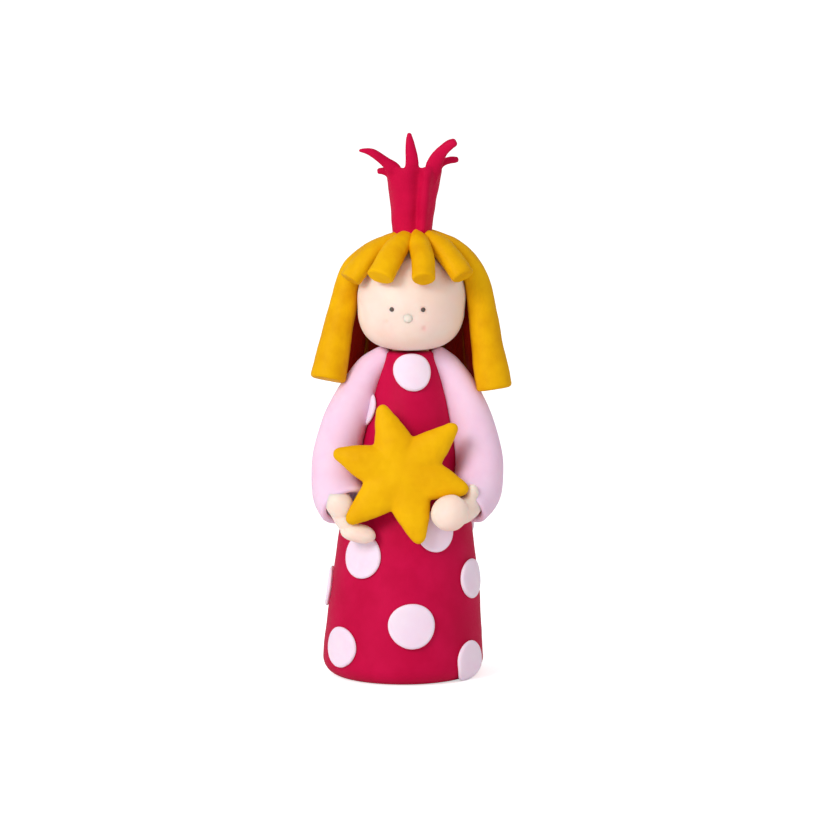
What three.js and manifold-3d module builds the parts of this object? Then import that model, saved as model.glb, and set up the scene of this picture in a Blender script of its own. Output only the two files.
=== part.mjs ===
// A hand-modelled clay princess, built round a wooden craft stick.
//
// Frame: millimetres, +Z up, the origin at the centre of the flat underside. The figure faces -Y,
// and left and right are as seen by someone who looks at its face, so right is +X.
import * as THREE from "three";
import { mergeVertices } from "three/addons/utils/BufferGeometryUtils.js";
import Module from "manifold-3d";

const wasm = await Module();
wasm.setup();

// Driving dimensions
const GAP = 0.3;              // clearance between pieces that are pressed together
const LEAN = 0.0225;          // sideways lean of the figure, millimetres per millimetre of height

const DRESS_RADIUS = 21.9;    // at the widest part, just above the rounded foot
const DRESS_FOOT = 4;         // radius of the rounded bottom edge
const DRESS_TOP = 89.8;       // where the neck of the dress meets the head
const NECK_RADIUS = 6.5;      // of the dress at its top
const BELL_POWER = 1.74;      // how late the dress narrows towards the neck

const HEAD_RADIUS = 14.85;
const HEAD_CENTRE = 104.4;    // height of the middle of the head
const CHIN_DROP = 14.2;       // from the middle of the head to its flat underside

// Distances right of and above the middle of the head. The face is turned a little to one side.
const FACE = {
  right: -1.1,
  nose: { right: 0.2, above: -4.3, radius: 1.5 },
  eyes: { apart: 8.6, above: -1.7, radius: 0.85 },
};

const STICK = { width: 10, thickness: 2, length: 114, foot: 2 };
const SLOT_CLEARANCE = 0.3;   // all round the stick

const HAIR_HEM = 80.5;        // height of the ends of the long strands
const CROWN_FOOT = HEAD_CENTRE + HEAD_RADIUS + GAP;

const STAR = { tip: 19.2, notch: 11.7, thickness: 5.2, height: 58.4, shift: -1.3, depth: 18.2, tilt: 0.203 };
const STAR_ARMS = [109, 43.5, -13.8, -75, -138, 163];   // degrees, anticlockwise from the right

const DOT_RADIUS = 5.6;
const DOT_THICKNESS = 1.2;

// Finishes
const clay = (color, roughness = 0.6) => new THREE.MeshStandardMaterial({ color, roughness, metalness: 0 });
const CRIMSON = clay(0xc41e47);
const PALE_PINK = clay(0xefcae0);
const DOT_PINK = clay(0xf6dfeb);
const FLESH = clay(0xfbe4d8);
const MUSTARD = clay(0xe6a512);
const INK = clay(0x4a3d39);
const BIRCH = clay(0xdfc296, 0.8);

const degrees = THREE.MathUtils.degToRad;
const figure = new THREE.Group();
figure.name = "clay_princess";

// Solids

/** The closed geometry as a solid that can be joined and cut. */
function solid(geometry) {
  const bare = geometry.clone();
  bare.deleteAttribute("normal");
  bare.deleteAttribute("uv");
  const merged = mergeVertices(bare, 1e-4);
  const corners = merged.index.array;
  const kept = [];
  for (let i = 0; i < corners.length; i += 3) {
    const [a, b, c] = corners.slice(i, i + 3);
    if (a !== b && b !== c && c !== a) kept.push(a, b, c);
  }
  return new wasm.Manifold(new wasm.Mesh({
    numProp: 3,
    vertProperties: new Float32Array(merged.attributes.position.array),
    triVerts: new Uint32Array(kept),
  }));
}

const join = (shapes) => shapes.reduce((whole, shape) => whole.add(shape));
const cut = (shape, tools) => tools.reduce((rest, tool) => rest.subtract(tool), shape);

/** Adds a solid to the figure as a named mesh, with the figure's lean. */
function piece(name, shape, material) {
  const { vertProperties, triVerts } = shape.getMesh();
  const geometry = new THREE.BufferGeometry();
  geometry.setAttribute("position", new THREE.BufferAttribute(new Float32Array(vertProperties), 3));
  geometry.setIndex(new THREE.BufferAttribute(new Uint32Array(triVerts), 1));
  geometry.applyMatrix4(new THREE.Matrix4().makeShear(0, 0, 0, 0, LEAN, 0));
  geometry.computeVertexNormals();
  const mesh = new THREE.Mesh(geometry, material);
  mesh.name = name;
  figure.add(mesh);
}

/** A turned solid whose outline holds [radius, height] points and starts and ends on the Z axis. */
function turned(outline, sides) {
  const points = outline.map(([radius, height]) => new THREE.Vector2(radius, height));
  return new THREE.LatheGeometry(points, sides).rotateX(Math.PI / 2);
}

/** An egg of the given half sizes, turned by Euler angles in degrees and centred on a point. */
function egg([x, y, z], [a, b, c], [rx, ry, rz] = [0, 0, 0], detail = 11) {
  const shape = new THREE.SphereGeometry(1, detail, Math.round(detail * 0.7));
  const turn = new THREE.Quaternion().setFromEuler(
    new THREE.Euler(degrees(rx), degrees(ry), degrees(rz)));
  const place = new THREE.Matrix4().compose(
    new THREE.Vector3(x, y, z), turn, new THREE.Vector3(a, b, c));
  return solid(shape.applyMatrix4(place));
}

/**
 * A rolled strand of clay: a turned solid bent along a curve through knots of [x, y, z, radius].
 * `flat` squeezes it along its own up direction, which points away from `pole`.
 * `hollow` opens its far end: { wall, from } is the wall thickness and where the hollow stops.
 */
function strand(knots, { grow = 0, sides = 8, rings = 8, flat = 1, pole, hollow, blunt = 0.9 }) {
  const curve = new THREE.CatmullRomCurve3(knots.map(([x, y, z]) => new THREE.Vector3(x, y, z)));
  const widths = new THREE.SplineCurve(knots.map(([, , , r], i) => new THREE.Vector2(i, r)));
  const radius = (t) => widths.getPoint(t).y + grow;
  const outline = [new THREE.Vector2(0, 0), new THREE.Vector2(radius(0) * blunt, 0)];
  for (let i = 0.4; i < rings; i += 1) outline.push(new THREE.Vector2(radius(i / rings), i / rings));
  outline.push(new THREE.Vector2(radius(1) * blunt, 1));
  if (hollow) {
    for (let t = 1; t > hollow.from; t -= 1 / rings) {
      outline.push(new THREE.Vector2(radius(t) * blunt - hollow.wall, t));
    }
    outline.push(new THREE.Vector2(0, hollow.from));
  } else {
    outline.push(new THREE.Vector2(0, 1));
  }
  const shape = new THREE.LatheGeometry(outline, sides);
  const spots = shape.attributes.position;
  const centre = new THREE.Vector3(...pole);
  for (let i = 0; i < spots.count; i += 1) {
    const t = THREE.MathUtils.clamp(spots.getY(i), 0, 1);
    const spot = curve.getPoint(t);
    const along = curve.getTangent(t);
    const up = spot.clone().sub(centre);
    up.addScaledVector(along, -up.dot(along)).normalize();
    const across = along.clone().cross(up);
    spot.addScaledVector(across, spots.getX(i)).addScaledVector(up, spots.getZ(i) * flat);
    spots.setXYZ(i, spot.x, spot.y, spot.z);
  }
  return solid(shape);
}

// Dress

/** Radius of the dress above its rounded foot. */
const bell = (height) =>
  DRESS_RADIUS - (DRESS_RADIUS - NECK_RADIUS) * (height / DRESS_TOP) ** BELL_POWER;

/** The side of the dress from its flat underside to the neck, as a curve of [radius, height]. */
function dressSide() {
  const side = [];
  for (let turn = 0; turn < 90; turn += 22.5) {
    const angle = degrees(turn);
    side.push(new THREE.Vector2(
      bell(DRESS_FOOT) - DRESS_FOOT * (1 - Math.sin(angle)), DRESS_FOOT * (1 - Math.cos(angle))));
  }
  const steps = 10;
  for (let i = 0; i <= steps; i += 1) {
    const height = THREE.MathUtils.lerp(DRESS_FOOT, DRESS_TOP, i / steps);
    side.push(new THREE.Vector2(bell(height), height));
  }
  return new THREE.SplineCurve(side);
}

const dressCurve = dressSide();

function dress(grow = 0) {
  const rows = 16;
  const side = dressCurve.getSpacedPoints(rows).map((p) => [p.x + grow, p.y]);
  return solid(turned([[0, -grow], [side[0][0], -grow], ...side, [0, DRESS_TOP]], 32));
}

/** A slot or tongue of the stick's shape, from one height to another, with room on every side. */
function stickSpace(low, high, room) {
  const half = STICK.width / 2 + room;
  const outline = new THREE.Shape();
  outline.absarc(0, high - STICK.width / 2, half, 0, Math.PI);
  outline.absarc(0, low + STICK.width / 2, half, Math.PI, 2 * Math.PI);
  const thickness = STICK.thickness + 2 * room;
  const slab = new THREE.ExtrudeGeometry(outline, {
    depth: thickness, bevelEnabled: false, curveSegments: 8,
  });
  return solid(slab.translate(0, 0, -thickness / 2).rotateX(Math.PI / 2));
}

const stickTop = STICK.foot + STICK.length;
const stick = stickSpace(STICK.foot, stickTop, 0);
const stickSlot = stickSpace(STICK.foot, stickTop, SLOT_CLEARANCE);

/** A disc of clay pressed on to the dress, which follows the dress's curve both ways. */
function dot([azimuth, height, size], grow = 0) {
  const radius = DOT_RADIUS * size + grow;
  const thickness = GAP + DOT_THICKNESS + grow;
  const disc = turned([
    [0, 0], [radius, 0], [radius, thickness * 0.6], [radius * 0.86, thickness * 0.95], [0, thickness],
  ], 12);
  const length = dressCurve.getLength();
  let middle = 0;
  while (dressCurve.getPointAt(middle).y < height) middle += 0.002;
  const spots = disc.attributes.position;
  for (let i = 0; i < spots.count; i += 1) {
    const u = THREE.MathUtils.clamp(middle + spots.getY(i) / length, 0, 1);
    const { x: skin, y: level } = dressCurve.getPointAt(u);
    const along = dressCurve.getTangentAt(u);
    const proud = spots.getZ(i);
    const reach = skin + along.y * proud;
    const angle = degrees(azimuth) + spots.getX(i) / skin;
    spots.setXYZ(i, reach * Math.sin(angle), -reach * Math.cos(angle), level - along.x * proud);
  }
  return solid(disc);
}

// Azimuths in degrees from the front towards the right, heights, and sizes against DOT_RADIUS
const DOTS = [
  [5.4, 15.9, 1.12], [-51.5, 8.9, 1.02], [55, 5.2, 1.0], [122, 9.5, 1.0], [168, 7.2, 1.05], [-140, 8.5, 1.0],
  [63.5, 27.2, 0.98], [140, 25, 1.04], [-167, 26, 1.0], [-97, 23, 0.98],
  [-38.5, 34.3, 1.08], [25.7, 41.2, 1.0], [116, 42, 1.0], [172, 44.5, 1.0], [-132, 41, 1.02],
  [137, 60, 0.95], [-157, 61.5, 0.95],
  [-80, 73, 0.9], [178, 76, 0.92],
  [5, 84, 0.94],
];
const SHOULDER_DOT = 17;       // the one that the left sleeve half covers
const FLOOR_CLEARANCE = 0.35;  // the lowest dots are pressed flat level with the underside

function floorSlab() {
  const deep = 10;
  const slab = new THREE.BoxGeometry(3 * DRESS_RADIUS, 3 * DRESS_RADIUS, deep);
  return solid(slab.translate(0, 0, FLOOR_CLEARANCE - deep / 2));
}

// Head and face

/** The head is a ball whose underside is pressed flat where it sits on the neck. */
function head(grow = 0) {
  const radius = HEAD_RADIUS + grow;
  const drop = CHIN_DROP + grow;
  const outline = [[0, HEAD_CENTRE - drop]];
  const start = Math.asin(drop / radius);
  const steps = 12;
  for (let i = 0; i < steps; i += 1) {
    const angle = THREE.MathUtils.lerp(-start, Math.PI / 2, i / steps);
    outline.push([radius * Math.cos(angle), HEAD_CENTRE + radius * Math.sin(angle)]);
  }
  outline.push([0, HEAD_CENTRE + radius]);
  return solid(turned(outline, 22));
}

const HEAD_MIDDLE = [0, 0, HEAD_CENTRE];
const grownHead = head(GAP);

/** A small ball pressed on to the face, the given distances right of and above its middle. */
function bead(right, above, radius) {
  const front = Math.sqrt(HEAD_RADIUS ** 2 - right ** 2 - above ** 2) + radius * 0.3;
  return cut(egg([right, -front, HEAD_CENTRE + above], [radius, radius, radius], [0, 0, 0], 8), [grownHead]);
}

// Hair

/** A point over the head, `lift` clear of it, at an azimuth and an angle down from the top. */
function overHead(azimuth, down, lift) {
  const reach = HEAD_RADIUS + lift;
  return [
    reach * Math.sin(degrees(down)) * Math.sin(degrees(azimuth)),
    -reach * Math.sin(degrees(down)) * Math.cos(degrees(azimuth)),
    HEAD_CENTRE + reach * Math.cos(degrees(down)),
  ];
}

/** A short fringe strand: it leaves the crown and stops at an angle down from the top. */
function fringe({ azimuth, reach, width }, grow = 0) {
  const steps = 5;
  const knots = [];
  for (let i = 0; i <= steps; i += 1) {
    const t = i / steps;
    const radius = THREE.MathUtils.lerp(1.55, width, Math.sqrt(t));
    knots.push([...overHead(azimuth, THREE.MathUtils.lerp(21, reach, t), radius + GAP), radius]);
  }
  return strand(knots, { grow, pole: HEAD_MIDDLE, rings: 5 });
}

/** A long strand: over the head, then down past the shoulder to a hem at [distance, height]. */
function longLock({ azimuth, hemAzimuth, root, width, hem, hemWidth }, grow = 0) {
  const knots = [];
  for (const [down, share] of [[21, 0], [42, 0.6], [63, 0.85], [84, 1]]) {
    const radius = THREE.MathUtils.lerp(root, width, share);
    knots.push([...overHead(azimuth, down, radius + GAP), radius]);
  }
  const [out, low] = hem;
  const [fromX, fromY, fromZ] = knots.at(-1);
  for (const t of [0.33, 0.66, 1]) {
    knots.push([
      THREE.MathUtils.lerp(fromX, out * Math.sin(degrees(hemAzimuth)), t),
      THREE.MathUtils.lerp(fromY, -out * Math.cos(degrees(hemAzimuth)), t),
      THREE.MathUtils.lerp(fromZ, low, t),
      THREE.MathUtils.lerp(width, hemWidth, t),
    ]);
  }
  return strand(knots, { grow, pole: HEAD_MIDDLE, rings: 8 });
}

const FRINGE = [
  { azimuth: -67, reach: 69, width: 3.1 },
  { azimuth: -28, reach: 71, width: 3.4 },
  { azimuth: 14, reach: 66, width: 3.1 },
  { azimuth: 50, reach: 66, width: 3.2 },
];
const LOCKS = {
  lock_left: {
    azimuth: -101, hemAzimuth: -84, root: 1.3, width: 3.4, hem: [22, HAIR_HEM + 1], hemWidth: 4.8,
  },
  lock_right: {
    azimuth: 88, hemAzimuth: 84, root: 1.7, width: 3.7, hem: [22.8, HAIR_HEM - 1], hemWidth: 4.9,
  },
};
const BACK_STRANDS = 6;

function backStrand(index) {
  const share = (index + 1) / (BACK_STRANDS + 1);
  const azimuth = THREE.MathUtils.lerp(LOCKS.lock_right.azimuth, 360 + LOCKS.lock_left.azimuth, share);
  const side = Math.abs(Math.sin(degrees(azimuth)));
  return {
    azimuth, hemAzimuth: azimuth, root: 1.1, width: 3.7,
    hem: [THREE.MathUtils.lerp(17.5, 22, side), HAIR_HEM + (index % 2) * 0.8], hemWidth: 4.1,
  };
}

// Crown

/**
 * Six flat petals rise from one foot and close into a tube; all but the rear one end in a point.
 * Each point is knots of [x, y, z, radius] past the shared tube.
 */
const CROWN_POINTS = [
  { azimuth: -62, tip: [[-7.2, -4.8, 141.6, 1.9], [-10.6, -5.8, 144.6, 1.3], [-14.5, -6.6, 145.2, 0.7]] },
  { azimuth: -3, tip: [[-0.4, -6.3, 142.8, 1.8], [-0.8, -6.5, 146.6, 1.3], [-1.0, -6.4, 150.2, 0.6]] },
  { azimuth: 56, tip: [[6.4, -4.6, 142.8, 1.9], [9.4, -5.6, 146.2, 1.5], [11.7, -6.0, 147.5, 0.95]] },
  { azimuth: 112, tip: [[7.6, -0.4, 141.0, 1.5], [9.9, -0.6, 142.2, 1.1], [12.1, -0.6, 142.4, 0.8]] },
  { azimuth: 176, tip: [] },
  { azimuth: -120, tip: [[-6.6, 0.0, 138.2, 1.3], [-8.2, -0.2, 139.4, 1.0], [-9.9, -0.2, 139.4, 0.7]] },
];
const CROWN_TUBE = [[3.3, 0, 2.5], [3.6, 5, 2.7], [4.3, 11, 3.0], [5.1, 17, 3.2]];  // distance, rise, radius
const CROWN_CORE = { radius: 3, rise: 6 };
// The room that the hair leaves for the crown, as radius and rise
const CROWN_ROOM = [[0, -1.5], [4.9, -1.5], [5.1, 4.5], [6.6, 11.5], [0, 11.5]];

function crown() {
  const petals = CROWN_POINTS.map(({ azimuth, tip }) => {
    const wall = CROWN_TUBE.map(([out, rise, radius]) => [
      out * Math.sin(degrees(azimuth)), -out * Math.cos(degrees(azimuth)), CROWN_FOOT + rise, radius]);
    return strand([...wall, ...tip], { pole: [0, 0, 130], flat: 0.62, rings: 7 });
  });
  const { radius, rise } = CROWN_CORE;
  const core = turned([[0, 0], [radius, 0], [radius, rise], [0, rise]], 8).translate(0, 0, CROWN_FOOT);
  return join([...petals, solid(core)]);
}

// Sleeves and hands

/** Knots of [x, y, z, radius] from the neck to the open cuff. */
const SLEEVES = {
  sleeve_left: [
    [-5.6, 0.4, 89.6, 2.8], [-11.6, 0.6, 83.6, 4.5], [-16.2, -0.4, 75.4, 5.9], [-19.2, -2.6, 67, 6.4],
    [-20.4, -6, 59, 6.8], [-19.8, -10.4, 52.8, 7.1], [-17.6, -14.6, 49.4, 7.0],
  ],
  sleeve_right: [
    [5.6, 0.4, 89.6, 2.8], [11.2, 0.6, 83.4, 4.4], [15.6, -0.4, 75, 5.6], [18.8, -2.4, 66.6, 6.5],
    [19.9, -5.4, 59, 7.0], [18.9, -9.4, 52.6, 7.3], [16.0, -12.6, 49.2, 6.9],
  ],
};
const CUFF = { wall: 1.9, from: 0.72 };

const sleeveShape = (knots, grow = 0) => strand(knots, {
  grow, sides: 12, rings: 9, pole: [0, 0, 60], hollow: { wall: CUFF.wall + 2 * grow, from: CUFF.from },
});

/** The star: six uneven blunt arms, pillowed, leaning back against the dress. */
function star(grow = 0) {
  const outline = new THREE.Shape();
  const bevel = STAR.thickness * 0.35;
  const round = 0.8;
  STAR_ARMS.forEach((angle, i) => {
    const next = STAR_ARMS[(i + 1) % STAR_ARMS.length];
    const span = ((angle - next) % 360 + 360) % 360;
    const spot = (reach, turn) => [reach * Math.cos(degrees(turn)), reach * Math.sin(degrees(turn))];
    const edge = STAR.tip - bevel - round;
    outline[i ? "lineTo" : "moveTo"](...spot(edge, angle + 3));
    outline.quadraticCurveTo(...spot(edge + round, angle), ...spot(edge, angle - 3));
    outline.lineTo(...spot(STAR.notch - bevel, angle - span / 2));
  });
  outline.closePath();
  const slab = new THREE.ExtrudeGeometry(outline, {
    depth: STAR.thickness - 2 * bevel, curveSegments: 3,
    bevelThickness: bevel + grow, bevelSize: bevel + grow, bevelSegments: 3,
  });
  slab.translate(0, 0, bevel - STAR.thickness / 2).rotateX(Math.PI / 2 - STAR.tilt);
  return solid(slab.translate(STAR.shift, -STAR.depth, STAR.height));
}

function handLeft() {
  return join([
    egg([-18.2, -17.6, 49.4], [3.1, 3.4, 4.7], [0, -32, 0]),
    egg([-13.4, -18.6, 42.2], [4.6, 3.0, 2.6], [0, 16, 0]),
    strand([
      [-19.6, -10.5, 52.4, 2.6], [-18.8, -14, 49.8, 3.0], [-17.2, -17.4, 46.4, 3.0],
      [-14.6, -18.6, 43.2, 2.4],
    ], { pole: [0, 0, 50], rings: 5 }),
  ]);
}

function handRight() {
  return join([
    egg([11.6, -22.4, 48.2], [5.1, 4.6, 5.0]),
    egg([18.4, -17.2, 53.2], [1.6, 1.7, 3.2], [20, 0, 0], 8),
    strand([
      [19.0, -9.6, 52.0, 2.6], [17.8, -13, 49.6, 2.9], [15.6, -17.4, 48.2, 3.1], [12.6, -21, 48, 3.4],
    ], { pole: [0, 0, 50], rings: 5 }),
    strand([
      [17.4, -14.2, 49.4, 2.2], [18.2, -16.2, 51.2, 1.9], [18.5, -17.4, 53.4, 1.5],
    ], { pole: [0, 0, 50], rings: 4 }),
  ]);
}

// Assembly

const grownDress = dress(GAP);
const grownStar = star(GAP);
const shoulderTool = dot(DOTS[SHOULDER_DOT], GAP);

piece("dress_body", cut(dress(), [stickSlot]), CRIMSON);
piece("craft_stick", stick, BIRCH);
piece("head", cut(head(), [stickSlot]), FLESH);
const { nose, eyes } = FACE;
piece("nose", bead(FACE.right + nose.right, nose.above, nose.radius), FLESH);
piece("eye_left", bead(FACE.right - eyes.apart / 2, eyes.above, eyes.radius), INK);
piece("eye_right", bead(FACE.right + eyes.apart / 2, eyes.above, eyes.radius), INK);

piece("star", star(), MUSTARD);
for (const [name, knots] of Object.entries(SLEEVES)) {
  piece(name, cut(sleeveShape(knots), [grownDress, grownHead, grownStar, shoulderTool]), PALE_PINK);
}
const sleeveTools = Object.values(SLEEVES).map((knots) => sleeveShape(knots, GAP));
piece("hand_left", cut(handLeft(), [grownStar, grownDress, sleeveTools[0]]), FLESH);
piece("hand_right", cut(handRight(), [grownStar, grownDress, sleeveTools[1]]), FLESH);

const crownTool = solid(turned(CROWN_ROOM.map(([radius, rise]) => [radius, CROWN_FOOT + rise]), 16));
piece("crown", cut(crown(), [grownHead]), CRIMSON);

const hair = [
  ...FRINGE.map((spec, i) => ({ name: `fringe_${i + 1}`, shape: (grow) => fringe(spec, grow) })),
  ...Object.entries(LOCKS).map(([name, spec]) => ({ name, shape: (grow) => longLock(spec, grow) })),
  ...Array.from({ length: BACK_STRANDS }, (_, i) => ({
    name: `back_hair_${i + 1}`, shape: (grow) => longLock(backStrand(i), grow),
  })),
];
const hairTools = [grownHead, crownTool, ...sleeveTools];
for (const { name, shape } of hair) {
  piece(name, cut(shape(0), hairTools), MUSTARD);
  hairTools.push(shape(GAP));
}

const underside = floorSlab();
DOTS.forEach((spec, i) => {
  const number = String(i + 1).padStart(2, "0");
  piece(`dot_${number}`, cut(dot(spec), [grownDress, underside]), DOT_PINK);
});

export default figure;
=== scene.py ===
import math
import random

import bmesh
import bpy
from mathutils import Matrix, Vector, noise


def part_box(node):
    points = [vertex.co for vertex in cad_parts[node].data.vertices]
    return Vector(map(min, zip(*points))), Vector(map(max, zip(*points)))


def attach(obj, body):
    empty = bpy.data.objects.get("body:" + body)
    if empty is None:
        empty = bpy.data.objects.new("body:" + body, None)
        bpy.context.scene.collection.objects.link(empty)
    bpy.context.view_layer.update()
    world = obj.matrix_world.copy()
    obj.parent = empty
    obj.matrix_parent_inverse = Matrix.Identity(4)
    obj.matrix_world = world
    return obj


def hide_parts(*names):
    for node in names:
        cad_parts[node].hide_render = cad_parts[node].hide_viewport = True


# A hand-modelled clay princess on a wooden craft stick.
#
# Pieces are modelled upright, in millimetres, round the dress's own axis. `finish_piece` then gives
# them the figure's lean and turns them into metres. -Y is the way the face looks.

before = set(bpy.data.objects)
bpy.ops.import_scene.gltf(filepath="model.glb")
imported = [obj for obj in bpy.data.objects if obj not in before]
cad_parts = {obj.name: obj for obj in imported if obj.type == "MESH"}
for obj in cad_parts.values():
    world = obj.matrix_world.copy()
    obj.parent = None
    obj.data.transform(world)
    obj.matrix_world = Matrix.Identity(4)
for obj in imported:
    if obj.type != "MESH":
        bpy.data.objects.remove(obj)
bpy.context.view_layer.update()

MM = 0.001


def box_mm(node):
    """Lowest and highest corner of a frame node, in millimetres."""
    low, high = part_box(node)
    return low / MM, high / MM


# Sizes and places that the frame gives

head_low, head_high = box_mm("head")
HEAD_RADIUS = (head_high.y - head_low.y) / 2
HEAD_LEVEL = head_high.z - HEAD_RADIUS
CHIN_DROP = HEAD_LEVEL - head_low.z

# How far the figure leans to the side for each millimetre up, from where the head sits.
LEAN = (head_low.x + head_high.x) / 2 / ((head_low.z + head_high.z) / 2)
LEANING = Matrix.Identity(4)
LEANING[0][2] = LEAN

dress_low, dress_high = box_mm("dress_body")
DRESS_RADIUS = (dress_high.y - dress_low.y) / 2 + 0.1
DRESS_TOP = dress_high.z

CROWN_FOOT = box_mm("crown")[0].z
HAIR_HEM = box_mm("back_hair_1")[0].z


# Curves

def on_curve(knots, t):
    """The point at t, from 0 to 1, of a smooth curve through the knots, evenly spread over t."""
    last = len(knots) - 1
    place = min(max(t, 0.0), 1.0) * last
    i = min(int(place), last - 1)
    u = place - i
    a, b = Vector(knots[i]), Vector(knots[i + 1])
    before = Vector(knots[i - 1]) if i else a * 2 - b
    after = Vector(knots[i + 2]) if i + 2 <= last else b * 2 - a
    return 0.5 * (2 * a + (b - before) * u + (2 * before - 5 * a + 4 * b - after) * u ** 2
                  + (3 * a - before - 3 * b + after) * u ** 3)


def curve_frame(knots, t, pole, shrink, ahead=0.0):
    """Matrix that puts a unit circle round the curve of knots at t, its thin side to the pole.

    A knot is [x, y, z, half width] on a round strand, and has the half thickness too on a flat
    one. `shrink` comes off both, and `ahead` moves the circle along the curve.
    """
    step = 0.01
    least = 0.02
    here = on_curve(knots, t)
    along = (on_curve(knots, t + step).xyz - on_curve(knots, t - step).xyz).normalized()
    spot = here.xyz + along * ahead
    up = spot - Vector(pole)
    up = (up - along * up.dot(along)).normalized()
    across = along.cross(up)
    width = max(here.w - shrink, least)
    thickness = max(here[-1] - shrink, least)
    turn = Matrix((across * width, up * thickness, along)).transposed().to_4x4()
    return Matrix.Translation(spot) @ turn


def curve_length(knots, steps=60):
    spots = [on_curve(knots, i / steps).xyz for i in range(steps + 1)]
    return sum((b - a).length for a, b in zip(spots, spots[1:]))


# Mesh work

def tube_skin(bm, frames, sides):
    """A closed skin over a row of rings, one for each frame."""
    circle = bmesh.ops.create_circle(bm, segments=sides, radius=1.0, matrix=frames[0])
    edges = list({edge for vert in circle["verts"] for edge in vert.link_edges})
    bmesh.ops.contextual_create(bm, geom=edges)
    for before, after in zip(frames, frames[1:]):
        made = bmesh.ops.extrude_edge_only(bm, edges=edges)["geom"]
        verts = [item for item in made if isinstance(item, bmesh.types.BMVert)]
        new = set(verts)
        edges = [item for item in made
                 if isinstance(item, bmesh.types.BMEdge) and set(item.verts) <= new]
        bmesh.ops.transform(bm, matrix=after @ before.inverted(), verts=verts)
    bmesh.ops.contextual_create(bm, geom=edges)
    bmesh.ops.recalc_face_normals(bm, faces=bm.faces)


def strand(bm, knots, pole, sides=32, rings=48, start_round=0.5, end_round=0.6, cuff=None):
    """A rolled strand along a curve of knots, its ends cut off with a rounded edge.

    `cuff` opens the far end instead: (wall, stop), the wall's thickness and where the hollow ends.
    """
    length = curve_length(knots)
    steps = 5
    frames = []

    def ring(t, shrink, ahead=0.0):
        frames.append(curve_frame(knots, t, pole, shrink, ahead))

    for i in range(steps + 1):
        turn = math.pi / 2 * i / steps
        ring(start_round * (1 - math.cos(turn)) / length, start_round * (1 - math.sin(turn)))
    first, last = start_round / length, 1 - (0 if cuff else end_round) / length
    for i in range(1, rings):
        ring(first + (last - first) * i / rings, 0)
    if cuff:
        wall, stop = cuff
        for i in range(2 * steps + 1):
            turn = math.pi * i / (2 * steps)
            ring(1, wall / 2 * (1 - math.cos(turn)), wall / 2 * math.sin(turn))
        inner = int(rings * (1 - stop))
        for i in range(1, inner + 1):
            ring(1 - (1 - stop) * i / inner, wall)
        ring(stop - 0.01, wall * 1.6)
        ring(stop - 0.02, wall * 2.6)
    else:
        for i in range(steps + 1):
            turn = math.pi / 2 * i / steps
            ring(1 - end_round * (1 - math.sin(turn)) / length, end_round * (1 - math.cos(turn)))
    tube_skin(bm, frames, sides)


def turned_skin(bm, outline, steps):
    """A closed skin turned round the upright axis from an outline of [radius, height]."""
    verts = [bm.verts.new((radius, 0, height)) for radius, height in outline]
    edges = [bm.edges.new(pair) for pair in zip(verts, verts[1:])]
    bmesh.ops.spin(bm, geom=verts + edges, cent=(0, 0, 0), axis=(0, 0, 1),
                   angle=2 * math.pi, steps=steps, use_merge=True)
    bmesh.ops.remove_doubles(bm, verts=bm.verts, dist=1e-4)
    bmesh.ops.recalc_face_normals(bm, faces=bm.faces)


def egg(bm, middle, halves, turn=(0, 0, 0), detail=4):
    """A ball of clay pulled to the given half sizes and turned by degrees about X, Y and Z."""
    place = Matrix.Translation(middle)
    for angle, axis in zip(turn, "XYZ"):
        place = place @ Matrix.Rotation(math.radians(angle), 4, axis)
    place = place @ Matrix.Diagonal((*halves, 1))
    bmesh.ops.create_icosphere(bm, subdivisions=detail, radius=1, matrix=place)


def rubbed(bm, passes):
    """Smooths the skin, as a finger rubs out a seam."""
    for _ in range(passes):
        bmesh.ops.smooth_vert(bm, verts=bm.verts, factor=0.5,
                              use_axis_x=True, use_axis_y=True, use_axis_z=True)


def welded(bm, voxel, passes):
    """Overlapping lobes made one skin, with the seams between them rubbed smooth."""
    lump = bpy.data.meshes.new("lump")
    bm.to_mesh(lump)
    bm.free()
    holder = bpy.data.objects.new("lump", lump)
    bpy.context.scene.collection.objects.link(holder)
    weld = holder.modifiers.new("weld", "REMESH")
    weld.mode = "VOXEL"
    weld.voxel_size = voxel
    settled = bpy.context.evaluated_depsgraph_get()
    skin = bpy.data.meshes.new_from_object(holder.evaluated_get(settled))
    out = bmesh.new()
    out.from_mesh(skin)
    bpy.data.objects.remove(holder)
    bpy.data.meshes.remove(lump)
    bpy.data.meshes.remove(skin)
    rubbed(out, passes)
    return out


def knead(bm, depth, size, seed):
    """Soft uneven lumps, as hands leave them, `depth` high and about `size` across."""
    bm.normal_update()
    shift = Vector((seed * 7.31, seed * 3.17, seed * 5.71))
    moves = [v.normal * depth * noise.noise(v.co / size + shift) for v in bm.verts]
    for vert, move in zip(bm.verts, moves):
        vert.co += move


def finish_piece(bm, name, node, material, levels=0):
    """Leans the upright millimetre model, makes it the object that stands for a frame node."""
    bmesh.ops.transform(bm, matrix=Matrix.Scale(MM, 4) @ LEANING, verts=bm.verts)
    mesh = bpy.data.meshes.new(name)
    bm.to_mesh(mesh)
    bm.free()
    mesh.polygons.foreach_set("use_smooth", [True] * len(mesh.polygons))
    piece = bpy.data.objects.new(name, mesh)
    bpy.context.scene.collection.objects.link(piece)
    piece.data.materials.append(material)
    if levels:
        rounding = piece.modifiers.new("rounding", "SUBSURF")
        rounding.levels = levels
        rounding.render_levels = levels
    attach(piece, "root")
    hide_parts(node)
    return piece


# Finishes

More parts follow.
